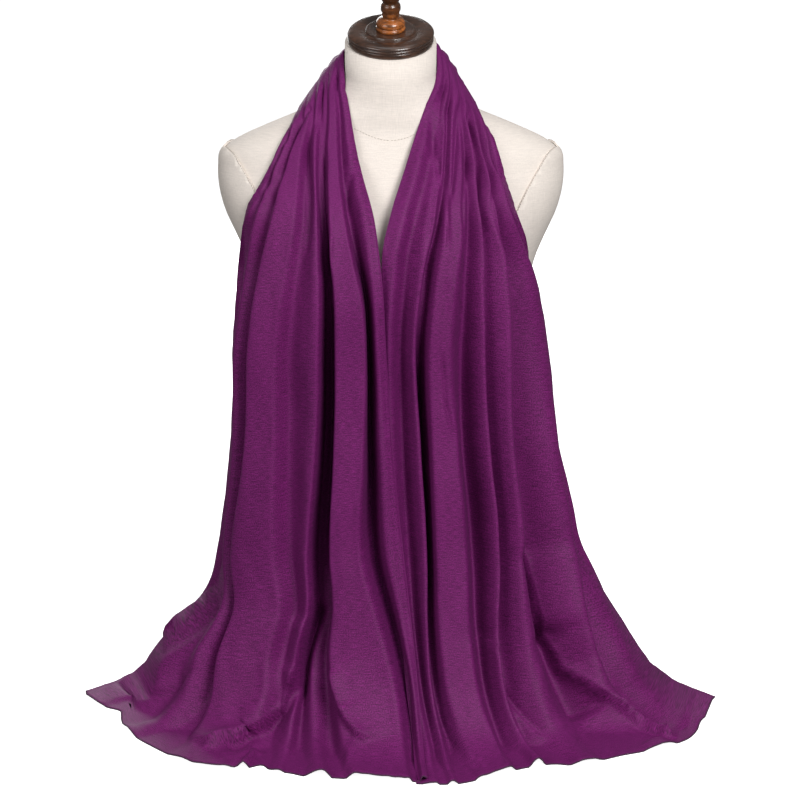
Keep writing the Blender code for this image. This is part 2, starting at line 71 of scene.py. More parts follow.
# Torso sections, in mm: height, half width, front and back reach
TORSO = (
    Section(0, 150, -96, 92),
    Section(12, 156, -102, 98),
    Section(80, 160, -108, 106),
    Section(140, 150, -102, 96),
    Section(200, 130, -93, 80),
    Section(270, 118, -88, 66),
    Section(330, 126, -98, 68),
    Section(400, 142, -116, 76),
    Section(468, 148, -125, 84),
    Section(495, 155, -120, 86),
    Section(520, 166, -114, 88),
    Section(546, 178, -105, 88),
    Section(570, 184, -94, 86),
    Section(590, 185, -83, 84),
    Section(606, 182, -75, 80),
    Section(618, 168, -69, 75),
    Section(633, 136, -63, 68),
    Section(648, 100, -62, 60),
    Section(660, 72, -61, 50),
    Section(675, 55, -61, 41),
)
NECK_RADIUS = 49 * MM
NECK_CENTRE_Y = -12 * MM
NECK_BEND_Z = 692 * MM
NECK_TOP_Z = 723 * MM
NECK_TILT = radians(19.5)
ARMHOLE_TOP = (180 * MM, -2 * MM, 606 * MM)
ARMHOLE_LEAN = radians(15)
ARMHOLE_TURN = radians(24)
ARMHOLE_FOOT = 468 * MM
ARMHOLE_MIDDLE_Z = 540 * MM
ARMHOLE_HALF_DEPTH = 66 * MM
ARMHOLE_TURNS = (-150, -120, -90, -60, -30)
COVER_WALL = 2.5 * MM
COVER_GAP = 0.5 * MM
COVER_SEAM_START = 6 * MM
COVER_SEAM_DROP = 40 * MM
NECK_SEAM_FRONT = 625 * MM
NECK_SEAM_RISE = 30 * MM
SEAM_STEPS = 96
PROFILE_STEPS = 4
STITCH_LIFT = 0.2 * MM
STITCH_PITCH = 3.4 * MM
STITCH_LENGTH = 2.1 * MM
STITCH_RADIUS = 0.26 * MM
FORM_GAP = 0.3 * MM
FINIAL_LIGHT_Z = 747 * MM
FINIAL_DARK_Z = 761 * MM
KNOB_SHADE = 0.3

# Turned profiles in mm, from the top of the axis down the outer side
NECK_CAP = (
    Turned(0, 14.6), Turned(20, 14.7), Turned(25, 15), Turned(26.2, 14.8), Turned(26.7, 14), Turned(27, 13.3),
    Turned(29, 13.1), Turned(33, 13.8), Turned(38, 14.2), Turned(42, 13.8), Turned(44.6, 12.9), Turned(46, 11.7),
    Turned(46.4, 10.6), Turned(45.9, 9.6), Turned(45.1, 9.1), Turned(45.1, 8.5), Turned(45.7, 7.9),
    Turned(46, 7), Turned(45.8, 6.2), Turned(45, 5.7), Turned(45.1, 5.2), Turned(45.8, 4.6), Turned(45.8, 1),
    Turned(45, 0), Turned(0, 0),
)
FINIAL = (
    Turned(0, 64), Turned(5.5, 62.8), Turned(10.5, 59.5), Turned(13.8, 54), Turned(15, 48), Turned(14.5, 43),
    Turned(12.5, 38), Turned(9.4, 33.5), Turned(8.6, 31.2), Turned(8.8, 30), Turned(10.1, 28.3), Turned(10.7, 26),
    Turned(10.7, 23), Turned(10.1, 21.3), Turned(9.3, 20.4), Turned(9.5, 18), Turned(9.1, 15.8), Turned(8.5, 14.5),
    Turned(8.9, 13.3), Turned(11, 12.2), Turned(13.4, 11), Turned(15, 9), Turned(15.5, 6.8), Turned(15.1, 5),
    Turned(14.4, 4.2), Turned(14.9, 3.4), Turned(15.7, 2.6), Turned(15.9, 1.4), Turned(15.4, 0), Turned(0, 0),
)

# Rows of cloth, in mm: drop along the cloth from the shoulder, then the inner edge,
# the control corner and the outer edge of a curve across the cloth
LEFT_STATIONS = (
    Station(0, -51.5, 0, 711, -76, 2, 687, -98, 4, 654),
    Station(47, -48.5, -35, 680, -84, -38, 664, -106, -34, 638),
    Station(83, -43, -57, 652, -94, -62, 640, -115, -49, 622),
    Station(109, -39, -70, 630, -106, -78, 616, -126, -61, 600),
    Station(150, -31, -93, 597, -122, -100, 586, -139, -67, 575),
    Station(214, -16.5, -128, 547, -150, -128, 544, -155, -62, 540),
    Station(249, -11.5, -143, 513, -164, -138, 506, -161.5, -45, 497),
    Station(292, -7.5, -150, 471, -192, -146, 458, -163, -28, 446),
    Station(345, -5, -150, 418, -213, -148, 404, -162, -10, 389),
    Station(399, -1.5, -150, 364, -222, -149, 348, -160, 5, 333),
    Station(452, 2, -155, 311, -230, -152, 293, -163, 15, 275),
    Station(506, 7, -160, 257, -239, -156, 236, -168, 22, 217),
    Station(560, 13, -165, 203, -246, -161, 180, -178, 28, 158),
    Station(614, 19, -175, 151, -258, -168, 124, -197, 28, 99),
    Station(667, 25, -190, 100, -305, -172, 66, -255, 10, 39),
    Station(720, 30, -210, 51.5, -292, -208, 22, -287, -8, 10),
    Station(763, 33, -235, 17, -272, -250, 3, -311, -25, 2),
    Station(796, 35, -265, 3, -255, -292, 0.6, -330, -43, 0.6),
    Station(828, 37, -297, 0.6, -240, -330, 0.6, -348, -61, 0.6),
)
RIGHT_STATIONS = (
    Station(0, 49.5, 0, 719, 72, 2, 690, 91, 4, 658),
    Station(47, 49, -24, 689, 78, -32, 668, 98, -31, 643),
    Station(83, 38, -50, 663, 88, -58, 648, 107, -53, 624),
    Station(109, 30, -63, 640, 98, -76, 622, 114, -62, 606),
    Station(150, 18, -87, 606, 110, -100, 592, 122, -70, 580),
    Station(214, 1, -121, 556, 128, -128, 548, 133, -74, 546),
    Station(249, -7, -135, 524, 146, -134, 508, 145, -58, 501),
    Station(292, -9.5, -141, 474, 178, -142, 460, 153, -33, 446),
    Station(345, -11, -141, 418, 202, -146, 404, 156, -12, 389),
    Station(399, -9.5, -141, 364, 219, -148, 348, 160, 4, 333),
    Station(452, -7, -146, 311, 236, -152, 293, 168, 14, 275),
    Station(506, -4, -151, 257, 253, -157, 236, 180, 20, 217),
    Station(560, 0, -156, 203, 266, -162, 180, 195, 24, 158),
    Station(614, 6, -166, 151, 286, -168, 124, 228, 18, 99),
    Station(667, 13, -181, 100, 316, -172, 66, 269, 2, 39),
    Station(720, 18, -200, 51.5, 308, -202, 22, 303, -15, 10),
    Station(763, 24, -226, 15, 298, -236, 3, 326, -35, 2),
    Station(796, 26, -262, 2, 284, -272, 0.6, 345, -55, 0.6),
    Station(828, 27, -299, 0.6, 270, -300, 0.6, 363, -76, 0.6),
)
LOOP_STATIONS = (
    Station(0, -51.5, 0, 711, -76, 2, 687, -98, 4, 654),
    Station(35, -46, 25, 714, -76, 34, 693, -88, 46, 645),
    Station(65, -28, 35, 718, -52, 58, 698, -56, 76, 634),
    Station(90, 0, 41, 720, 0, 70, 699, 0, 86, 628),
    Station(115, 28, 35, 721, 50, 58, 700, 52, 76, 636),
    Station(145, 45, 25, 721, 72, 34, 697, 82, 46, 648),
    Station(180, 49.5, 0, 719, 72, 2, 690, 91, 4, 658),
)

# How far down the cloth the fold tables' columns lie, in mm
FOLD_LEVELS = {"collar": 83, "chest": 214, "bust": 292, "waist": 452, "hip": 560, "foot": 667, "hem": 828}
RISE_LEVELS = {"rise_collar": 83, "rise_bust": 292, "rise_hip": 560, "rise_hem": 828}

# Fold lines from the inner edge outwards: how far out each lies as seen from the front, in mm,
# then how far it stands out (+) or in (-), in mm. The outline is the last that the front shows.
LEFT_FOLDS = (
    Fold("inner edge", 38, 16.5, 7.5, -2, -12, -24, -36, 0, 0, 0, 3),
    Fold("edge band", 41, 25, 15, 8, 2, -18, -33, 2, 4, 5, 4),
    Fold("edge valley", 44.5, 40, 26, 22, 18, -9, -27, -2, -13, -11, -3),
    Fold("main band right", 47.5, 47.5, 32, 32, 35, 8, -16, 2, 7, 9, 4),
    Fold("main band left", 50.5, 57, 51, 52, 56, 55, 29, 2, 7, 10, 5),
    Fold("main valley right", 53.5, 63, 58, 60, 64, 66, 46, -2, -11, -10, -2),
    Fold("hem arch", 55, 65.5, 61, 65, 72, 78, 62, -2, -12, -11, 7),
    Fold("main valley left", 56.5, 68, 65, 71, 79, 87, 90, -2, -11, -10, -3),
    Fold("second band", 59.5, 74, 73, 79, 87, 95, 106, 2, 5, 6, 2),
    Fold("soft valley", 63.5, 85, 96, 102, 101, 104, 128, -2, -6, -6, -3),
    Fold("flap right", 66.5, 93, 106, 112, 114, 118, 150, 2, 3, 7, 3),
    Fold("flap left", 69.5, 107, 121, 129, 143, 158, 188, 2, 6, 8, 3),
    Fold("side valley", 72.5, 119, 132, 142, 151, 170, 232, -2, -6, -7, -3),
    Fold("side band", 75.5, 128, 143, 153, 163, 190, 255, 2, 3, 4, 3),
    Fold("outer valley", 78, 134, 149, 161, 172, 207, 270, -2, -3, -4, -3),
    Fold("outer flap", 80, 138.5, 158, 171, 184, 226, 290, 1, 1, 3, 2),
    Fold("outer edge", 82.4, 142, 172, 183, 200, 243, 307, 0, 0, 0, 0),
)
LEFT_OUTLINE = Fold("outline", 81.4, 141, 152, 163, 176, 238, 305, 0, 0, 0, 0)
RIGHT_FOLDS = (
    Fold("inner edge", 34, 0, -10, -6, -1, 12, 27, 0, 0, 0, 0),
    Fold("edge band", 38, 12, 0, 2, 6, 19, 45, 2, 4, 4, 2),
    Fold("edge valley", 42, 24, 12, 12, 16, 26, 51, -2, -8, -8, -2),
    Fold("narrow ridge", 45, 38, 22, 23, 28, 32, 58, 2, 4, 5, 3),
    Fold("slit", 47.5, 45, 30, 31, 35, 38, 72, -2, -10, -8, -3),
    Fold("wide band left", 50, 53, 41, 41, 43, 49, 88, 2, 6, 8, 3),
    Fold("wide band right", 53, 66, 56, 62, 68, 74, 114, 2, 6, 8, 4),
    Fold("broad valley", 56, 75, 74, 76, 83, 88, 127, -2, -8, -9, -3),
    Fold("thin ridge", 58.5, 81, 84, 91, 98, 98, 140, 2, 2, 4, 6),
    Fold("thin valley", 61, 88, 92, 99, 104, 107, 153, -2, -6, -7, -3),
    Fold("third band", 63.5, 96, 105, 110, 116, 124, 182, 2, 5, 7, 4),
    Fold("third valley", 66, 103, 122, 128, 143, 164, 222, -2, -7, -9, -3),
    Fold("side band", 68.5, 109, 136, 152, 165, 186, 260, 2, 5, 7, 4),
    Fold("side valley", 70.5, 114, 143, 160, 175, 209, 292, -1, -3, -6, -3),
    Fold("outer flap", 72.3, 117.5, 150, 168, 188, 230, 312, 1, 1, 3, 3),
    Fold("outer edge", 74.4, 121, 162, 186, 207, 249, 326, 0, 0, 0, 0),
)
RIGHT_OUTLINE = Fold("outline", 73.4, 120, 141.5, 166, 187, 244, 325, 0, 0, 0, 0)

# How far the hem lies past (+) or short of (-) its plain curve: share of the way along it from the
# inner edge, then mm. The change starts where the cloth nears the floor.
Reach = namedtuple("Reach", "share past")
LEFT_REACHES = (
    Reach(0, 6), Reach(0.05, 5), Reach(0.09, 1), Reach(0.17, -4), Reach(0.24, -4), Reach(0.28, -9),
    Reach(0.33, -11), Reach(0.36, -20), Reach(0.39, -6), Reach(0.43, 3), Reach(0.49, 10), Reach(0.57, 6),
    Reach(0.63, 3), Reach(0.75, -2), Reach(0.81, -9), Reach(0.87, -20), Reach(0.9, -11), Reach(0.94, -3),
    Reach(0.97, -1), Reach(1, -4),
)
RIGHT_REACHES = (
    Reach(0, 10), Reach(0.09, 11), Reach(0.15, 1), Reach(0.22, -11), Reach(0.29, -16), Reach(0.35, -13),
    Reach(0.39, -2), Reach(0.46, -1), Reach(0.53, 1), Reach(0.6, 9), Reach(0.67, 17), Reach(0.73, 21),
    Reach(0.79, 17), Reach(0.83, 12), Reach(0.87, 13), Reach(0.92, 5), Reach(1, 0),
)
REACH_START = 700

# Fold lines that hang over a neighbour, in mm outwards (+) or inwards (-), and how many times deeper
# than the tables' rises a line is in the fine cloth
Detail = namedtuple("Detail", "name chest waist foot depth")
LEFT_DETAILS = (
    Detail("edge valley", 0, 0, 0, 2.4),
    Detail("main band right", -3, -6, -4, 1.4),
    Detail("main valley right", 0, 0, 0, 2.9),
    Detail("hem arch", 0, 0, 0, 2.9),
    Detail("main valley left", 0, 0, 0, 2.9),
    Detail("second band", -4, -7, -6, 1.5),
    Detail("soft valley", 0, 0, 0, 1.9),
    Detail("flap left", 4, 8, 8, 1.5),
    Detail("side valley", 0, 0, 0, 2.7),
    Detail("outer flap", 2, 4, 6, 1.4),
)
RIGHT_DETAILS = (
    Detail("edge valley", 0, 0, 0, 2.0),
    Detail("narrow ridge", 2, 5, 3, 1.4),
    Detail("slit", 0, 0, 0, 3.2),
    Detail("broad valley", 0, 0, 0, 3.4),
    Detail("thin ridge", 3, 4, 3, 1.3),
    Detail("thin valley", 0, 0, 0, 2.6),
    Detail("third band", 3, 5, 6, 1.5),
    Detail("third valley", 0, 0, 0, 2.6),
    Detail("side band", 3, 6, 7, 1.5),
    Detail("side valley", 0, 0, 0, 2.0),
)
PLAIN_DEPTH = 1.45

# How much of a line's own depth shows down the drop
Deepening = namedtuple("Deepening", "drop share")
DEEPENINGS = (Deepening(0, 0), Deepening(200, 0), Deepening(292, 0.45), Deepening(400, 1), Deepening(667, 1),
              Deepening(828, 0.2))

# Layers that lie over another, in mm: the edge from start to end (out, drop), with the upper layer on
# the side of the larger reach outwards where the edge runs down; its rise and how far the rise reaches
Overlap = namedtuple("Overlap", "name out drop end_out end_drop rise reach")
LEFT_OVERLAPS = (
    Overlap("big flap", 90, 630, 97, 682, 12, 16),
    Overlap("big flap curl", 96, 676, 107, 722, 18, 16),
    Overlap("big flap foot", 106, 717, 131, 754, 20, 16),
    Overlap("big flap end", 129, 750, 168, 791, 18, 14),
    Overlap("main band foot", 27, 766, 47, 724, 12, 16),
    Overlap("main band side", 47, 726, 58, 686, 9, 14),
    Overlap("outer flap roll", 200, 610, 252, 694, 10.2, 7),
)
RIGHT_OVERLAPS = (
    Overlap("foot slit", 113, 714, 97, 652, 8.5, 14),
    Overlap("foot slit lower", 144, 766, 112, 708, 6.8, 14),
    Overlap("outer flap side", 140, 560, 161, 646, 15, 14),
    Overlap("outer flap fold", 160, 641, 174, 680, 19, 14),
    Overlap("outer flap foot", 172, 675, 208, 722, 22, 14),
    Overlap("outer flap end", 206, 718, 270, 810, 18, 14),
)
OVERLAP_EDGE = 1.3

# Small creases on each side: start and end (out, drop), half width and rise, in mm
LEFT_CREASES = (
    Crease("neck pocket", 25, 24, 36, 46, 2.4, -5.4),
    Crease("collar line", 50, 26, 60, 86, 2, -5.9),
    Crease("short fold", 65, 50, 75, 92, 2.4, -5.4),
    Crease("long dark line", 66, 100, 82, 232, 1.9, -6.4),
    Crease("inner dark line", 26, 46, 43, 190, 2, -5.4),
    Crease("middle dark line", 58, 128, 63, 262, 1.7, -6.7),
    Crease("thin wedge", 55, 226, 59, 300, 1.6, 4.3),
    Crease("shoulder ridge", 74, 60, 92, 150, 3.2, 2.4),
    Crease("shoulder pull", 92, 110, 118, 236, 3.6, -1.9),
    Crease("second pull", 104, 150, 126, 280, 3, 1.6),
    Crease("inner edge pull", 20, 180, 8, 300, 2.4, 1.6),
    Crease("foot crease", 267, 764, 196, 680, 3.2, -3.2),
    Crease("foot crease two", 186, 706, 204, 744, 3, -3),
    Crease("foot crease three", 202, 740, 220, 776, 3, -2.7),
    Crease("flap hollow", 194, 616, 246, 700, 4.5, -5.4),
    Crease("big flap hollow", 82, 620, 95, 704, 8, -13),
    Crease("big flap hollow lower", 95, 700, 148, 786, 9, -11),
    Crease("flap arch", 126, 792, 138, 836, 5, 10.8),
    Crease("hem pinch", 46, 728, 36, 754, 2, 4.1),
    Crease("hem ridge", 30, 756, 42, 812, 2.6, 2.7),
)
RIGHT_CREASES = (
    Crease("inner line", 37, 54, 43, 156, 1.9, -5.4),
    Crease("inner line lower", 43, 148, 33, 244, 2.1, -4.7),
    Crease("second line", 47, 70, 42, 206, 1.8, -5),
    Crease("third line", 53, 70, 55, 186, 1.8, -5.9),
    Crease("fourth line", 59, 78, 82, 200, 2, -6.4),
    Crease("slit", 61, 132, 70, 242, 1.7, -6.7),
    Crease("short line", 52, 174, 54, 240, 1.8, -4.7),
    Crease("broad dark", 69, 150, 90, 226, 3.4, -4.9),
    Crease("outer line", 69, 104, 101, 236, 2.1, -5.9),
    Crease("side notch", 86, 268, 87, 310, 2, -7.1),
    Crease("bust crumple", 50, 270, 71, 292, 1.9, 2.2),
    Crease("bust crumple two", 53, 292, 68, 312, 1.8, 2),
    Crease("bust crumple three", 56, 310, 71, 329, 1.8, 1.8),
    Crease("waist line", 49, 350, 53, 406, 1.7, -3),
    Crease("waist line lower", 53, 402, 62, 442, 1.7, -3),
    Crease("shoulder ridge", 70, 60, 86, 130, 3, 2.2),
    Crease("foot slit", 97, 656, 113, 712, 2.2, -5.7),
    Crease("foot slit lower", 112, 706, 144, 764, 2.4, -4.6),
    Crease("flap groove", 130, 556, 154, 648, 12, -20),
    Crease("flap groove lower", 153, 642, 192, 724, 17, -26),
    Crease("flap groove end", 192, 720, 250, 800, 13, -9),
    Crease("side groove", 176, 596, 193, 638, 2.6, -5.4),
    Crease("side groove lower", 193, 634, 221, 712, 3, -4.9),
    Crease("hem line", 41, 724, 51, 774, 1.8, -3),
    Crease("hem line lower", 51, 770, 67, 806, 2, -2.7),
    Crease("hem line two", 47, 732, 60, 764, 1.8, -2.7),
    Crease("hem line two lower", 59, 760, 84, 810, 2, -2.4),
)
# A spread of soft wrinkles on both sides: size across and down the cloth in mm, and rise in mm
Wrinkle = namedtuple("Wrinkle", "across down rise")
WRINKLES = (Wrinkle(9, 80, 1.1), Wrinkle(22, 55, 1.3), Wrinkle(5, 26, 0.35))


class ScarfSettings(PropertyGroup):
    colour: FloatVectorProperty(name="Cloth colour", description="Dye of the jersey", subtype="COLOR",
                                default=(0.135, 0.0105, 0.104), min=0, max=1)
    edge_colour: FloatVectorProperty(name="Edge colour", description="Thread of the sewn edge", subtype="COLOR",
                                     default=(0.060, 0.008, 0.050), min=0, max=1)
    thickness: FloatProperty(name="Thickness", description="Thickness of the jersey", unit="LENGTH",
                             default=0.6 * MM, min=0.0002)
    cut_width: FloatProperty(name="Cut width", description="Width of the flat cloth", unit="LENGTH", default=0.60)
    cut_length: FloatProperty(name="Cut length", description="Length of the flat cloth", unit="LENGTH",
                              default=1.84)
    shown_area: FloatProperty(name="Shown area", description="Flat area of the cloth that is modelled, without the "
                              "part that the neck's gathers hide, in square metres", default=0.70, min=0)
    columns: IntProperty(name="Columns", description="Strips across the cloth", default=136, min=40)
    row_step: FloatProperty(name="Row step", description="Distance between rows where the cloth hangs, in mm",
                            default=6.5, min=2)
    floor_step: FloatProperty(name="Floor row step", description="Distance between rows on the floor, in mm",
                              default=4.0, min=2)
    hem_radius: FloatProperty(name="Hem radius", description="Half the thickness of the sewn hem",
                              unit="LENGTH", default=0.9 * MM)
    edge_radius: FloatProperty(name="Edge radius", description="Half the thickness of the long edges",
                               unit="LENGTH", default=0.6 * MM)


class FormSettings(PropertyGroup):
    linen: FloatVectorProperty(name="Linen colour", description="Cover of the dress form", subtype="COLOR",
                               default=(0.77, 0.70, 0.64), min=0, max=1)
    thread: FloatVectorProperty(name="Thread colour", description="Stitches of the cover", subtype="COLOR",
                                default=(0.42, 0.36, 0.30), min=0, max=1)
    walnut: FloatVectorProperty(name="Cap colour", description="Stain of the neck cap", subtype="COLOR",
                                default=(0.037, 0.016, 0.009), min=0, max=1)
    finial: FloatVectorProperty(name="Finial colour", description="Stain of the finial", subtype="COLOR",
                                default=(0.200, 0.058, 0.010), min=0, max=1)
    columns: IntProperty(name="Columns", description="Facets round the torso", default=96, min=24)
    turned_steps: IntProperty(name="Turned steps", description="Facets round the turned wood", default=96, min=24)


class StageSettings(PropertyGroup):
    lens: FloatProperty(name="Lens", description="Focal length in millimetres", default=99.8, min=10)
    camera_place: FloatVectorProperty(name="Camera place", description="Where the camera stands",
                                      subtype="TRANSLATION", default=(0.010, -2.4, 0.95))
    camera_drop: FloatProperty(name="Camera drop", description="How far the camera looks down", subtype="ANGLE",
                               default=radians(14.6))
    floor_size: FloatProperty(name="Floor size", description="Side of the floor", unit="LENGTH", default=60.0)
    key_power: FloatProperty(name="Key power", description="Power of the main soft light", unit="POWER", default=60)
    fill_power: FloatProperty(name="Fill power", description="Power of the fill light", unit="POWER", default=25)
    top_power: FloatProperty(name="Top power", description="Power of the overhead light", unit="POWER", default=10)
    back_power: FloatProperty(name="Back power", description="Power of the light behind", unit="POWER", default=32)
    floor_glow: FloatProperty(name="Floor glow", description="Own light of the white floor", default=0.95, min=0)
    world_light: FloatProperty(name="Room light", description="Strength of the white room", default=0.15, min=0)


def through(values, knots, table):
    """A smooth curve through the rows of a table, read at the given values of its knots."""
    knots = np.asarray(knots, float)
    table = np.asarray(table, float)
    slopes = np.gradient(table, knots, axis=0)
    values = np.atleast_1d(values)
    spans = np.clip(np.searchsorted(knots, values, side="right") - 1, 0, len(knots) - 2)
    width = (knots[spans + 1] - knots[spans])
    t = (values - knots[spans]) / width
    shape = (-1,) + (1,) * (table.ndim - 1)
    t, width = t.reshape(shape), width.reshape(shape)
    start, end = table[spans], table[spans + 1]
    return ((2 * t**3 - 3 * t**2 + 1) * start + (t**3 - 2 * t**2 + t) * width * slopes[spans]
            + (3 * t**2 - 2 * t**3) * end + (t**3 - t**2) * width * slopes[spans + 1])


def place(piece, *nodes):
    """Links a new piece, makes it ride on the root body and hides the nodes that it stands for."""
    bpy.context.scene.collection.objects.link(piece)
    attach(piece, "root")
    if nodes:
        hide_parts(*nodes)
    return piece


def piece_from(name, bm, material, smooth=True):
    mesh = bpy.data.meshes.new(name)
    bm.to_mesh(mesh)
    bm.free()
    if smooth:
        mesh.shade_smooth()
    mesh.materials.append(material)
    return bpy.data.objects.new(name, mesh)


def ring_points(z_values, columns):
    """Rings of the torso and neck at fine steps, as rows of points."""
    knots = [section.z for section in TORSO]
    rows = through(z_values, knots, [section[1:] for section in TORSO]) * MM
    angles = np.arange(columns) * tau / columns
    rings = []
    for z, (half_width, front, back) in zip(z_values, rows):
        ring = np.stack([half_width * np.cos(angles),
                         (front + back) / 2 + (back - front) / 2 * np.sin(angles),
                         np.full(columns, z * MM)], axis=1)
        rings.append(ring)
    for z, tilt in ((NECK_BEND_Z, NECK_TILT / 2), (NECK_TOP_Z, NECK_TILT)):
        depth = NECK_RADIUS * np.sin(angles)
        rings.append(np.stack([NECK_RADIUS * np.cos(angles), NECK_CENTRE_Y + depth * cos(tilt),
                               z + depth * sin(tilt)], axis=1))
    return rings


def stack_rings(bm, rings):
    """A closed skin through rings of points, from the bottom up."""
    loop = bmesh.ops.create_circle(bm, segments=len(rings[0]), radius=0.1, cap_ends=False)["verts"]
    for vert, point in zip(loop, rings[0]):
        vert.co = point
    edges = bottom = bm.edges[:]
    for ring in rings[1:]:
        made = bmesh.ops.extrude_edge_only(bm, edges=edges)["geom"]
        loop = [item for item in made if isinstance(item, bmesh.types.BMVert)]
        edges = [item for item in made if isinstance(item, bmesh.types.BMEdge)
                 and all(vert in loop for vert in item.verts)]
        for vert, point in zip(loop, ring):
            vert.co = point
    bmesh.ops.edgeloop_fill(bm, edges=bottom)
    bmesh.ops.edgeloop_fill(bm, edges=edges)
    bmesh.ops.recalc_face_normals(bm, faces=bm.faces)


def torso_mesh(columns):
    low = [section.z for section in TORSO]
    z_values = [0, 3, 7, 12] + list(np.linspace(20, 560, 55)) + list(np.linspace(566, low[-1], 30))
    bm = bmesh.new()
    stack_rings(bm, ring_points(z_values, columns))
    return bm


def trim(bm, faces, point, direction):
    """Cuts faces along a plane and drops what lies behind it."""
    parts = {item for face in faces for item in (face, *face.edges, *face.verts)}
    bmesh.ops.bisect_plane(bm, geom=list(parts), plane_co=point, plane_no=direction, clear_inner=True)


def cover_mesh(torso, side):
    """The outer face of the padded cover over a shoulder's stub; side is -1 or 1."""
    bm = torso.copy()
    x, y, z = ARMHOLE_TOP
    top = Vector((x * side, y, z))
    for turn in ARMHOLE_TURNS:
        outline = Vector((0, y + ARMHOLE_HALF_DEPTH * cos(radians(turn)),
                          ARMHOLE_MIDDLE_Z + (ARMHOLE_MIDDLE_Z - ARMHOLE_FOOT) * sin(radians(turn))))
        inward = Vector((0, -cos(radians(turn)), -sin(radians(turn))))
        trim(bm, bm.faces, outline, inward)
    everything = bm.verts[:] + bm.edges[:] + bm.faces[:]
    bmesh.ops.bisect_plane(bm, geom=everything, plane_co=top, plane_no=Vector((0, 1, 0)))
    for half in (-1, 1):
        faces = [face for face in bm.faces if (face.calc_center_median().y - y) * half > 0]
        outward = Vector((cos(ARMHOLE_LEAN) * cos(ARMHOLE_TURN) * side, sin(ARMHOLE_TURN) * half,
                          -sin(ARMHOLE_LEAN) * cos(ARMHOLE_TURN)))
        trim(bm, faces, top, outward)
    bmesh.ops.remove_doubles(bm, verts=bm.verts, dist=0.3 * MM)
    skin = BVHTree.FromBMesh(torso)
    for vert in bm.verts:
        spot, normal, _, _ = skin.find_nearest(vert.co)
        vert.co = spot + normal * (COVER_GAP + COVER_WALL)
    bm.normal_update()
    return bm


def turned_piece(name, profile, lift, material, steps):
    """A turned piece on the neck's tilted top; lift is measured along the neck's axis."""
    bm = bmesh.new()
    outside = profile[1:-1]
    knots = np.arange(len(outside))
    fine = through(np.linspace(0, knots[-1], knots[-1] * PROFILE_STEPS + 1), knots, outside)
    points = [profile[0], *fine, profile[-1]]
    verts = [bm.verts.new((radius * MM, 0, height * MM)) for radius, height in points]
    edges = [bm.edges.new(pair) for pair in zip(verts, verts[1:])]
    bmesh.ops.spin(bm, geom=verts + edges, cent=(0, 0, 0), axis=(0, 0, 1), angle=tau, steps=steps, use_merge=True)
    bmesh.ops.remove_doubles(bm, verts=bm.verts, dist=0.02 * MM)
    bmesh.ops.recalc_face_normals(bm, faces=bm.faces)
    tilt = Matrix.Rotation(NECK_TILT, 4, "X")
    spot = Vector((0, NECK_CENTRE_Y - lift * sin(NECK_TILT), NECK_TOP_Z + lift * cos(NECK_TILT)))
    bmesh.ops.transform(bm, matrix=Matrix.Translation(spot) @ tilt, verts=bm.verts)
    return piece_from(name, bm, material)


def row_curve(values):
    inner, corner, edge = np.asarray(values).reshape(3, 3)
    t = np.linspace(0, 1, CURVE_SAMPLES)[:, None]
    return ((1 - t)**2 * inner + 2 * t * (1 - t) * corner + t**2 * edge) * MM


def with_reach(curve, reaches, drop, hem_drop):
    """The curve of a row near the floor, moved level so that the hem gets its uneven line."""
    fade = max(0, (drop - REACH_START) / (hem_drop - REACH_START))
    t = np.linspace(0, 1, CURVE_SAMPLES)
    past = through(t, [reach.share for reach in reaches], [reach.past for reach in reaches]) * MM
    along = np.gradient(curve, axis=0)
    level = np.stack([along[:, 1], -along[:, 0], np.zeros(CURVE_SAMPLES)], axis=1)
    level *= np.sign((level * curve).sum(axis=1))[:, None]
    level /= np.linalg.norm(level, axis=1, keepdims=True)
    return curve + level * (past * fade**2 * (3 - 2 * fade))[:, None]


def row_points(curve, shares):
    """Points of a row: shares up to 1 by width seen from the front, and from 1 to 2 by length behind that."""
    out = np.abs(curve[:, 0] - curve[0, 0])
    last = min(int(np.argmax(out)), int(CURVE_SAMPLES * (1 - HIDDEN_SHARE_MIN)))
    steps = np.arange(CURVE_SAMPLES)
    seen = np.maximum.accumulate(out[:last + 1]) / out[last]
    index = np.interp(shares, seen, steps[:last + 1])
    index = np.where(shares > 1, last + (shares - 1) * (CURVE_SAMPLES - 1 - last), index)
    return np.stack([np.interp(index, steps, curve[:, axis]) for axis in range(3)], axis=1)


def line_shares(folds, outline, level):
    """Where the fold lines lie at a level: 0 at the inner edge, 1 at the outline, 2 at the hidden edge."""
    inner, edge, limit = (getattr(fold, level) for fold in (folds[0], folds[-1], outline))
    lines = np.array([getattr(fold, level) for fold in folds], float)
    return np.where(lines <= limit, (lines - inner) / (limit - inner), 1 + (lines - limit) / (edge - limit))


def in_order(shares):
    shares = shares.copy()
    for i in range(1, len(shares)):
        shares[i] = max(shares[i], shares[i - 1] + LINE_SPACING)
    return np.minimum(shares, 2 - LINE_SPACING * np.arange(len(shares))[::-1])


def strips(folds, total):
    """Shares a number of strips out over the gaps between fold lines, by their width at waist and hem."""
    widths = np.array([(b.waist - a.waist) * 1.0 + (b.hem - a.hem) * 0.6 for a, b in zip(folds, folds[1:])])
    counts = np.maximum(4, np.floor(widths / widths.sum() * total).astype(int))
    while counts.sum() > total:
        counts[np.argmax(counts)] -= 1
    while counts.sum() < total:
        counts[np.argmax(widths / counts)] += 1
    return counts


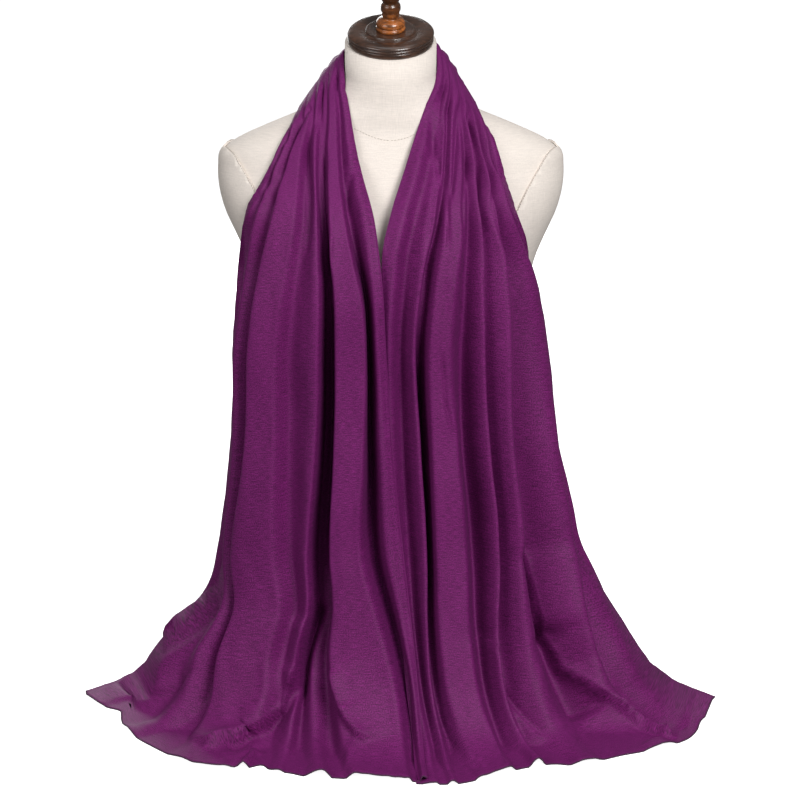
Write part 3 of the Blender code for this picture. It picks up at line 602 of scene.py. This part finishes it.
def between_folds(places, rises, leans, counts):
    """Columns between the fold lines: their places, rounded rises and how far they lean over."""
    columns, heights, leaned = [places[0]], [rises[0]], [leans[0]]
    for i, count in enumerate(counts):
        for k in range(1, count + 1):
            turn = (1 - cos(pi * k / count)) / 2
            columns.append(places[i] + (places[i + 1] - places[i]) * k / count)
            heights.append(rises[i] + (rises[i + 1] - rises[i]) * turn)
            leaned.append(leans[i] + (leans[i + 1] - leans[i]) * turn)
    return np.array(columns), np.array(heights), np.array(leaned)


def crease_rise(creases, out, drop):
    """Sum of the small creases at a row's columns."""
    total = np.zeros_like(out)
    for crease in creases:
        along = np.array([crease.end_out - crease.out, crease.end_drop - crease.drop], float)
        length = np.linalg.norm(along)
        along /= length
        du, dv = out - crease.out, drop - crease.drop
        t = (du * along[0] + dv * along[1]) / length
        away = du * along[1] - dv * along[0]
        fade = np.clip(np.minimum(t, 1 - t) * 5 + 0.6, 0, 1)
        total += crease.rise * np.exp(-(away / crease.width)**2) * fade**2 * (3 - 2 * fade)
    return total


def overlap_rise(overlaps, out, drop):
    """Rise of the upper layers at a row's columns: sharp at the layer's edge, fading away from it."""
    total = np.zeros_like(out)
    for overlap in overlaps:
        along = np.array([overlap.end_out - overlap.out, overlap.end_drop - overlap.drop], float)
        length = np.linalg.norm(along)
        along /= length
        du, dv = out - overlap.out, drop - overlap.drop
        t = (du * along[0] + dv * along[1]) / length
        away = du * along[1] - dv * along[0]
        fade = np.clip(np.minimum(t, 1 - t) * 5 + 0.6, 0, 1)
        shape = np.where(away > 0, np.exp(-away / overlap.reach), np.exp(away / OVERLAP_EDGE))
        total = np.maximum(total, overlap.rise * shape * fade**2 * (3 - 2 * fade))
    return total


def detail_rows(folds, details):
    """The leans of all fold lines at the chest, waist, foot and hem, none at the collar, and their depths."""
    by_name = {detail.name: detail for detail in details}
    plain = Detail("plain", 0, 0, 0, PLAIN_DEPTH)
    rows = [by_name.get(fold.name, plain) for fold in folds]
    leans = np.array([(0, row.chest, row.waist, row.foot, row.foot / 2) for row in rows], float).T
    return leans, np.array([row.depth for row in rows])


def fall_rows(stations, folds, outline, creases, overlaps, reaches, details, drops, counts, seed):
    """Base points, rises and shares of one hanging end, a row for each drop."""
    knots_all = [station.drop for station in stations]
    curves = [station[1:] for station in stations]
    even = np.append(np.linspace(0, 1, len(folds) - 1), 2)
    knots = [0] + list(FOLD_LEVELS.values())
    places = [even] + [line_shares(folds, outline, level) for level in FOLD_LEVELS]
    spread = [(0, 100)] + [(getattr(folds[0], level), getattr(outline, level)) for level in FOLD_LEVELS]
    rise_knots = [0] + list(RISE_LEVELS.values())
    rises = [[0] * len(folds)] + [[getattr(fold, level) for fold in folds] for level in RISE_LEVELS]
    lean_knots = [FOLD_LEVELS[level] for level in ("collar", "chest", "waist", "foot", "hem")]
    lean_table, depths = detail_rows(folds, details)
    base, moved, heights, all_shares = [], [], [], []
    for drop in drops:
        curve = with_reach(row_curve(through(drop, knots_all, curves)[0]), reaches, drop, knots_all[-1])
        lines = in_order(through(drop, knots, places)[0])
        line_leans = through(max(drop, lean_knots[0]), lean_knots, lean_table)[0]
        own = through(drop, [row.drop for row in DEEPENINGS], [[row.share] for row in DEEPENINGS])[0, 0]
        line_rises = through(drop, rise_knots, rises)[0]
        line_rises *= np.where(line_rises < 0, PLAIN_DEPTH + (depths - PLAIN_DEPTH) * own, PLAIN_DEPTH)
        shares, height, lean = between_folds(lines, line_rises, line_leans, counts)
        inner, limit = through(drop, knots, spread)[0]
        out = inner + shares * (limit - inner)
        height = height + crease_rise(creases, out, drop) + overlap_rise(overlaps, out, drop)
        for wrinkle in WRINKLES:
            ripple = [noise.noise(Vector((o / wrinkle.across + seed, drop / wrinkle.down, seed))) for o in out]
            height = height + np.array(ripple) * wrinkle.rise * min(1, drop / 100)
        base.append(row_points(curve, shares))
        moved.append(row_points(curve, shares + lean / (limit - inner)))
        heights.append(height * MM)
        all_shares.append(shares)
    return np.array(base), np.array(moved), np.array(heights), np.array(all_shares)


def loop_rows(count, start_shares, end_shares):
    drops = [station.drop for station in LOOP_STATIONS]
    curves = [station[1:] for station in LOOP_STATIONS]
    base, heights = [], []
    for k in range(1, count):
        t = k / count
        curve = row_curve(through(drops[-1] * t, drops, curves)[0])
        shares = (start_shares * (1 - t) + end_shares * t)
        plain = np.where(shares > 1, 1 + (shares - 1) * HIDDEN_SHARE_MIN, shares * 1)
        index = np.clip(plain / plain[-1], 0, 1) * (CURVE_SAMPLES - 1)
        steps = np.arange(CURVE_SAMPLES)
        base.append(np.stack([np.interp(index, steps, curve[:, axis]) for axis in range(3)], axis=1))
        gathers = np.sin(plain / plain[-1] * tau * 4.5 + 0.6) * 3.4 + np.sin(plain * tau * 9.3 + t * 3) * 0.9
        edge = np.clip(np.minimum(plain, plain[-1] - plain) * 12, 0, 1)
        heights.append(gathers * edge * sin(pi * t)**1.6 * MM)
    return np.array(base), np.array(heights)


def clear_of(trees, points, clearance):
    """Moves points that lie in or too near the form's surfaces out to the clearance."""
    for tree, reach in trees:
        for i, point in enumerate(points):
            spot, normal, _, _ = tree.find_nearest(Vector(point), reach)
            if spot is None:
                continue
            depth = (Vector(point) - spot).dot(normal)
            if depth < clearance:
                points[i] += np.array(normal) * (clearance - depth)
    return points


def cloth_grid(settings, trees):
    """The whole cloth as one grid, from the left hem round the neck to the right hem."""
    drops = np.concatenate([np.arange(0, FLOOR_START, settings.row_step),
                            np.arange(FLOOR_START, LEFT_STATIONS[-1].drop, settings.floor_step),
                            [LEFT_STATIONS[-1].drop]])
    left = fall_rows(LEFT_STATIONS, LEFT_FOLDS, LEFT_OUTLINE, LEFT_CREASES, LEFT_OVERLAPS, LEFT_REACHES,
                     LEFT_DETAILS, drops, strips(LEFT_FOLDS, settings.columns), 3.1)
    right = fall_rows(RIGHT_STATIONS, RIGHT_FOLDS, RIGHT_OUTLINE, RIGHT_CREASES, RIGHT_OVERLAPS, RIGHT_REACHES,
                      RIGHT_DETAILS, drops, strips(RIGHT_FOLDS, settings.columns), 8.7)
    loop_base, loop_heights = loop_rows(34, left[3][0], right[3][0])
    base = np.concatenate([left[0][::-1], loop_base, right[0]])
    moved = np.concatenate([left[1][::-1], loop_base, right[1]])
    heights = np.concatenate([left[2][::-1], loop_heights, right[2]])
    across = np.gradient(base, axis=1)
    along = np.gradient(base, axis=0)
    normals = -np.cross(across, along)
    normals /= np.linalg.norm(normals, axis=2, keepdims=True)
    grid = moved + normals * heights[:, :, None]
    flat = clear_of(trees, grid.reshape(-1, 3), CLEARANCE)
    flat[:, 2] = np.maximum(flat[:, 2], 0.8 * MM)
    loop_length = LOOP_STATIONS[-1].drop
    lengths = np.concatenate([-drops[::-1] - loop_length / 2,
                              np.linspace(-loop_length / 2, loop_length / 2, 35)[1:-1],
                              drops + loop_length / 2]) * MM
    return flat.reshape(grid.shape), lengths


def sheet_piece(name, grid, lengths, width, material):
    """A grid mesh shaped to the points, with the flat cloth's metres as its UV map."""
    rows, columns = grid.shape[:2]
    bm = bmesh.new()
    bmesh.ops.create_grid(bm, x_segments=rows - 1, y_segments=columns - 1, size=0.5)
    bm.verts.ensure_lookup_table()
    order = sorted(bm.verts, key=lambda vert: (round(vert.co.x * rows * 4), vert.co.y))
    uv_layer = bm.loops.layers.uv.new("Flat")
    where = {}
    for i, vert in enumerate(order):
        row, column = divmod(i, columns)
        vert.co = grid[row, column]
        where[vert] = (column / (columns - 1) * width, lengths[row])
    for face in bm.faces:
        for loop in face.loops:
            loop[uv_layer].uv = where[loop.vert]
    bm.normal_update()
    return piece_from(name, bm, material)


def tube_along(name, points, radius, material, sides=6):
    """A thin closed tube along a path of points, made a mesh."""
    curve = bpy.data.curves.new(name, "CURVE")
    curve.dimensions = "3D"
    curve.bevel_depth = radius
    curve.bevel_resolution = max(0, sides // 2 - 2)
    curve.use_fill_caps = True
    spline = curve.splines.new("POLY")
    spline.points.add(len(points) - 1)
    for spot, point in zip(spline.points, points):
        spot.co = (*point, 1)
    guide = bpy.data.objects.new(name + "_guide", curve)
    bpy.context.scene.collection.objects.link(guide)
    mesh = bpy.data.meshes.new_from_object(guide.evaluated_get(bpy.context.evaluated_depsgraph_get()))
    bpy.data.objects.remove(guide)
    bm = bmesh.new()
    bm.from_mesh(mesh)
    bpy.data.meshes.remove(mesh)
    bmesh.ops.remove_doubles(bm, verts=bm.verts, dist=0.01 * MM)
    return piece_from(name, bm, material)


def new_material(name, colour, roughness):
    material = bpy.data.materials.new(name)
    material.use_nodes = True
    shader = material.node_tree.nodes["Principled BSDF"]
    shader.inputs["Base Color"].default_value = (*colour, 1)
    shader.inputs["Roughness"].default_value = roughness
    return material, material.node_tree, shader


def node(tree, kind, **values):
    """Adds a node, with its properties and its inputs' values by name."""
    made = tree.nodes.new(kind)
    for key, value in values.items():
        if key in made.inputs:
            made.inputs[key].default_value = value
        else:
            setattr(made, key, value)
    return made


def stretched_noise(tree, vector, scale, detail=3.0):
    """Noise over metres: scale is how many spots there are in a metre along each axis."""
    mapping = node(tree, "ShaderNodeMapping")
    mapping.inputs["Scale"].default_value = scale
    tree.links.new(vector, mapping.inputs["Vector"])
    spots = node(tree, "ShaderNodeTexNoise", Scale=1.0, Detail=detail, Roughness=0.55)
    tree.links.new(mapping.outputs["Vector"], spots.inputs["Vector"])
    return spots.outputs["Fac"]


def shade(tree, colour, fac, dark, light):
    """Multiplies a colour by a shade that runs from dark to light with fac."""
    ramp = node(tree, "ShaderNodeMapRange")
    ramp.inputs["From Min"].default_value = 0.3
    ramp.inputs["From Max"].default_value = 0.7
    ramp.inputs["To Min"].default_value = dark
    ramp.inputs["To Max"].default_value = light
    tree.links.new(fac, ramp.inputs["Value"])
    mix = node(tree, "ShaderNodeMix", data_type="RGBA", blend_type="MULTIPLY")
    mix.inputs[0].default_value = 1.0
    tree.links.new(colour, mix.inputs[6])
    tree.links.new(ramp.outputs["Result"], mix.inputs[7])
    return mix.outputs[2]


def add_bump(tree, shader, height, strength, distance, normal=None):
    bump = node(tree, "ShaderNodeBump", Strength=strength, Distance=distance)
    tree.links.new(height, bump.inputs["Height"])
    if normal is not None:
        tree.links.new(normal, bump.inputs["Normal"])
    tree.links.new(bump.outputs["Normal"], shader.inputs["Normal"])
    return bump.outputs["Normal"]


def jersey_material(colour):
    material, tree, shader = new_material("jersey", colour, 0.60)
    shader.inputs["Specular IOR Level"].default_value = 0.18
    shader.inputs["Sheen Weight"].default_value = 0.04
    shader.inputs["Sheen Roughness"].default_value = 0.4
    shader.inputs["Sheen Tint"].default_value = (0.75, 0.25, 0.70, 1)
    flat = node(tree, "ShaderNodeUVMap", uv_map="Flat").outputs["UV"]
    dye = node(tree, "ShaderNodeRGB")
    dye.outputs[0].default_value = (*colour, 1)
    streaks = stretched_noise(tree, flat, (70, 900, 1), 4)
    speckle = stretched_noise(tree, flat, (700, 700, 1), 2)
    cloudy = stretched_noise(tree, flat, (14, 9, 1), 3)
    toned = shade(tree, dye.outputs[0], streaks, 0.66, 1.36)
    toned = shade(tree, toned, speckle, 0.50, 1.55)
    toned = shade(tree, toned, cloudy, 0.93, 1.06)
    tree.links.new(toned, shader.inputs["Base Color"])
    knit = stretched_noise(tree, flat, (1500, 1100, 1), 2)
    first = add_bump(tree, shader, knit, 0.35, 0.0004)
    add_bump(tree, shader, streaks, 0.25, 0.0006, first)
    return material


def linen_material(colour):
    material, tree, shader = new_material("linen", colour, 0.85)
    shader.inputs["Specular IOR Level"].default_value = 0.2
    shader.inputs["Sheen Weight"].default_value = 0.1
    place_in = node(tree, "ShaderNodeTexCoord").outputs["Object"]
    dye = node(tree, "ShaderNodeRGB")
    dye.outputs[0].default_value = (*colour, 1)
    weft = stretched_noise(tree, place_in, (90, 90, 1300), 4)
    warp = stretched_noise(tree, place_in, (1300, 1300, 70), 4)
    toned = shade(tree, dye.outputs[0], weft, 0.93, 1.05)
    toned = shade(tree, toned, warp, 0.94, 1.05)
    tree.links.new(toned, shader.inputs["Base Color"])
    first = add_bump(tree, shader, weft, 0.35, 0.0005)
    add_bump(tree, shader, warp, 0.35, 0.0005, first)
    return material


def darker_above(tree, colour, place_in, low, high, dark):
    """Darkens a colour from one height to another."""
    height = node(tree, "ShaderNodeSeparateXYZ")
    tree.links.new(place_in, height.inputs[0])
    ramp = node(tree, "ShaderNodeMapRange")
    for name, value in (("From Min", low), ("From Max", high), ("To Min", 1), ("To Max", dark)):
        ramp.inputs[name].default_value = value
    tree.links.new(height.outputs["Z"], ramp.inputs["Value"])
    mix = node(tree, "ShaderNodeMix", data_type="RGBA", blend_type="MULTIPLY")
    mix.inputs[0].default_value = 1.0
    tree.links.new(colour, mix.inputs[6])
    tree.links.new(ramp.outputs["Result"], mix.inputs[7])
    return mix.outputs[2]


def walnut_material(name, colour, knob_shade=1.0):
    material, tree, shader = new_material(name, colour, 0.33)
    shader.inputs["Coat Weight"].default_value = 0.6
    shader.inputs["Coat Roughness"].default_value = 0.12
    place_in = node(tree, "ShaderNodeTexCoord").outputs["Object"]
    stain = node(tree, "ShaderNodeRGB")
    stain.outputs[0].default_value = (*colour, 1)
    grain = stretched_noise(tree, place_in, (60, 420, 420), 5)
    patches = stretched_noise(tree, place_in, (35, 35, 35), 3)
    toned = shade(tree, stain.outputs[0], grain, 0.45, 1.9)
    toned = shade(tree, toned, patches, 0.6, 1.6)
    if knob_shade < 1:
        toned = darker_above(tree, toned, place_in, FINIAL_LIGHT_Z, FINIAL_DARK_Z, knob_shade)
    tree.links.new(toned, shader.inputs["Base Color"])
    add_bump(tree, shader, grain, 0.15, 0.0003)
    return material


def thread_material(name, colour):
    material, tree, shader = new_material(name, colour, 0.8)
    place_in = node(tree, "ShaderNodeTexCoord").outputs["Object"]
    twist = stretched_noise(tree, place_in, (1600, 1600, 1600), 2)
    dye = node(tree, "ShaderNodeRGB")
    dye.outputs[0].default_value = (*colour, 1)
    tree.links.new(shade(tree, dye.outputs[0], twist, 0.6, 1.4), shader.inputs["Base Color"])
    add_bump(tree, shader, twist, 0.5, 0.0003)
    return material


def even_path(points, step):
    """Points at even steps along a path, with the path's direction at each."""
    points = np.asarray(points)
    gaps = np.linalg.norm(np.diff(points, axis=0), axis=1)
    reach = np.concatenate([[0], np.cumsum(gaps)])
    places = np.arange(step / 2, reach[-1], step)
    spots = np.stack([np.interp(places, reach, points[:, axis]) for axis in range(3)], axis=1)
    return spots, np.gradient(spots, axis=0)


def stitches(name, path, pitch, length, radius, material):
    """A row of small straight stitches along a path, joined as one mesh."""
    bm = bmesh.new()
    for spot, along in zip(*even_path(path, pitch)):
        turn = Vector(along).to_track_quat("Z", "Y").to_matrix().to_4x4()
        bmesh.ops.create_cone(bm, cap_ends=True, segments=6, radius1=radius, radius2=radius, depth=length,
                              matrix=Matrix.Translation(Vector(spot)) @ turn)
    return piece_from(name, bm, material)


def neck_seam_path(tree):
    """The seam round the neck's foot: lowest in front, over the shoulders at the sides."""
    path = []
    for k in range(SEAM_STEPS + 1):
        turn = tau * k / SEAM_STEPS
        z = NECK_SEAM_FRONT + NECK_SEAM_RISE * (sin(turn)**2 if cos(turn) > 0 else 1)
        outward = Vector((sin(turn), -cos(turn), 0))
        spot, normal, _, _ = tree.ray_cast(Vector((0, NECK_CENTRE_Y, z)), outward)
        path.append(spot + outward * STITCH_LIFT)
    return path


def cover_seam_path(cover, half):
    """The front (-1) or back (1) border of an arm cover, from below to its top."""
    rim = {vert for edge in cover.edges if edge.is_boundary for vert in edge.verts}
    rim = [vert for vert in rim if (vert.co.y - ARMHOLE_TOP[1]) * half > COVER_SEAM_START
           and vert.co.z > ARMHOLE_MIDDLE_Z - COVER_SEAM_DROP]
    rim.sort(key=lambda vert: vert.co.z)
    return [vert.co + vert.normal * STITCH_LIFT for vert in rim]


class SCARF_OT_form(Operator):
    """Makes the linen covered torso and its two arm covers"""
    bl_idname = "scarf.form"
    bl_label = "Dress form"

    def execute(self, context):
        settings = context.scene.dress_form
        linen = linen_material(settings.linen)
        thread = thread_material("seam_thread", settings.thread)
        torso = torso_mesh(settings.columns)
        for side, word in ((-1, "left"), (1, "right")):
            node_name = f"form_armplate_{word}"
            shape = cover_mesh(torso, side)
            for half, place_word in ((-1, "front"), (1, "back")):
                seam = place(stitches(f"armhole_{place_word}_stitches_{word}", cover_seam_path(shape, half),
                                      STITCH_PITCH, STITCH_LENGTH, STITCH_RADIUS, thread))
            cover = piece_from(f"arm_cover_{word}", shape, linen)
            wall = cover.modifiers.new("Wall", "SOLIDIFY")
            wall.thickness = COVER_WALL
            wall.offset = -1
            place(cover, node_name)
        seam_path = neck_seam_path(BVHTree.FromBMesh(torso))
        seam = place(stitches("neck_stitches", seam_path, STITCH_PITCH, STITCH_LENGTH, STITCH_RADIUS, thread))
        body = place(piece_from("form_cover", torso, linen), "form_body")
        return {"FINISHED"}


class SCARF_OT_wood(Operator):
    """Makes the turned neck cap and its finial"""
    bl_idname = "scarf.wood"
    bl_label = "Neck cap and finial"

    def execute(self, context):
        settings = context.scene.dress_form
        walnut = walnut_material("walnut", settings.walnut)
        amber = walnut_material("amber_walnut", settings.finial, KNOB_SHADE)
        cap = turned_piece("neck_cap", NECK_CAP, FORM_GAP, walnut, settings.turned_steps)
        lift = FORM_GAP * 2 + NECK_CAP[0].height * MM
        finial = turned_piece("finial", FINIAL, lift, amber, settings.turned_steps)
        for piece, node_name in ((cap, "form_neck_cap"), (finial, "form_finial")):
            place(piece, node_name)
        return {"FINISHED"}


def form_trees():
    """Search trees of the form's surfaces, the torso first, with how far each is looked for."""
    trees = []
    for name, reach in (("form_cover", TORSO_REACH), ("arm_cover_left", COVER_REACH),
                        ("arm_cover_right", COVER_REACH), ("form_cover", TORSO_REACH)):
        skin = bmesh.new()
        skin.from_mesh(bpy.data.objects[name].data)
        bmesh.ops.triangulate(skin, faces=skin.faces)
        trees.append((BVHTree.FromBMesh(skin), reach))
        skin.free()
    return trees


class SCARF_OT_cloth(Operator):
    """Drapes the scarf and sews its edge"""
    bl_idname = "scarf.cloth"
    bl_label = "Scarf"

    def execute(self, context):
        settings = context.scene.scarf
        jersey = jersey_material(settings.colour)
        grid, lengths = cloth_grid(settings, form_trees())
        cloth = sheet_piece("scarf_cloth", grid, lengths, settings.cut_width, jersey)
        wall = cloth.modifiers.new("Wall", "SOLIDIFY")
        wall.thickness = settings.thickness
        wall.offset = 0
        place(cloth, "scarf_left_fall", "scarf_right_fall", "scarf_neck_loop")
        thread = thread_material("edge_thread", settings.edge_colour)
        for name, path in (("left_hem", grid[0]), ("right_hem", grid[-1]),
                           ("inner_edge", grid[:, 0]), ("outer_edge", grid[:, -1])):
            hem = name.endswith("hem")
            radius = settings.hem_radius if hem else settings.edge_radius
            path = path.copy()
            path[:, 2] = np.maximum(path[:, 2], radius)
            place(tube_along(f"scarf_{name}", path, radius, thread if hem else jersey))
        return {"FINISHED"}


def area_light(name, spot, target, size, power):
    light = bpy.data.lights.new(name, "AREA")
    light.shape = "SQUARE"
    light.size = size
    light.energy = power
    lamp = bpy.data.objects.new(name, light)
    lamp.location = spot
    lamp.rotation_euler = (Vector(target) - Vector(spot)).to_track_quat("-Z", "Y").to_euler()
    bpy.context.scene.collection.objects.link(lamp)


class SCARF_OT_stage(Operator):
    """Sets the floor, the soft lights and the camera"""
    bl_idname = "scarf.stage"
    bl_label = "Stage"

    def execute(self, context):
        settings = context.scene.scarf_stage
        scene = context.scene
        scene.view_settings.view_transform = "Standard"
        lens = bpy.data.cameras.new("camera")
        lens.lens = settings.lens
        lens.sensor_width = 36
        camera = bpy.data.objects.new("camera", lens)
        camera.location = settings.camera_place
        camera.rotation_euler = (pi / 2 - settings.camera_drop, 0, 0)
        scene.collection.objects.link(camera)
        scene.camera = camera
        bm = bmesh.new()
        bmesh.ops.create_grid(bm, x_segments=1, y_segments=1, size=settings.floor_size / 2)
        white, tree, shader = new_material("floor_white", (0.93, 0.93, 0.93), 0.9)
        shader.inputs["Emission Color"].default_value = (1, 1, 1, 1)
        shader.inputs["Emission Strength"].default_value = settings.floor_glow
        floor = piece_from("floor", bm, white)
        scene.collection.objects.link(floor)
        bm = bmesh.new()
        bmesh.ops.create_icosphere(bm, subdivisions=4, radius=settings.floor_size / 2)
        bmesh.ops.reverse_faces(bm, faces=bm.faces)
        glow, tree, shader = new_material("backdrop_white", (0, 0, 0), 1)
        shader.inputs["Specular IOR Level"].default_value = 0
        shader.inputs["Emission Color"].default_value = (1, 1, 1, 1)
        shader.inputs["Emission Strength"].default_value = 1
        backdrop = piece_from("backdrop", bm, glow)
        scene.collection.objects.link(backdrop)
        for piece in (floor, backdrop):
            piece.visible_diffuse = False
            piece.visible_glossy = False
        backdrop.visible_shadow = False

        area_light("key", (1.1, -2.1, 1.8), (0, 0, 0.4), 1.0, settings.key_power)
        area_light("fill", (-1.7, -1.9, 1.5), (0, 0, 0.4), 1.4, settings.fill_power)
        area_light("top", (0.1, -0.5, 2.6), (0, -0.1, 0), 1.6, settings.top_power)
        area_light("back", (-0.6, 2.6, 1.2), (0, 0, 0.4), 1.6, settings.back_power)
        world = bpy.data.worlds.new("room")
        world.use_nodes = True
        scene.world = world
        room = world.node_tree.nodes["Background"]
        room.inputs["Color"].default_value = (1, 1, 1, 1)
        room.inputs["Strength"].default_value = settings.world_light
        return {"FINISHED"}


class SCARF_PT_panel(Panel):
    """Buttons for the scarf, the form and the stage"""
    bl_idname = "SCARF_PT_panel"
    bl_label = "Headscarf"
    bl_space_type = "VIEW_3D"
    bl_region_type = "UI"
    bl_category = "Scarf"

    def draw(self, context):
        for operator in OPERATORS:
            self.layout.operator(operator.bl_idname)


OPERATORS = (SCARF_OT_stage, SCARF_OT_form, SCARF_OT_wood, SCARF_OT_cloth)
GROUPS = {"scarf": ScarfSettings, "dress_form": FormSettings, "scarf_stage": StageSettings}


def register():
    for cls in (*GROUPS.values(), *OPERATORS, SCARF_PT_panel):
        bpy.utils.register_class(cls)
    for name, group in GROUPS.items():
        setattr(bpy.types.Scene, name, PointerProperty(type=group))


def unregister():
    for name in GROUPS:
        delattr(bpy.types.Scene, name)
    for cls in reversed((*GROUPS.values(), *OPERATORS, SCARF_PT_panel)):
        bpy.utils.unregister_class(cls)


def main():
    register()
    bpy.ops.scarf.stage()
    bpy.ops.scarf.form()
    bpy.ops.scarf.wood()
    bpy.ops.scarf.cloth()


if __name__ == "__main__":
    main()
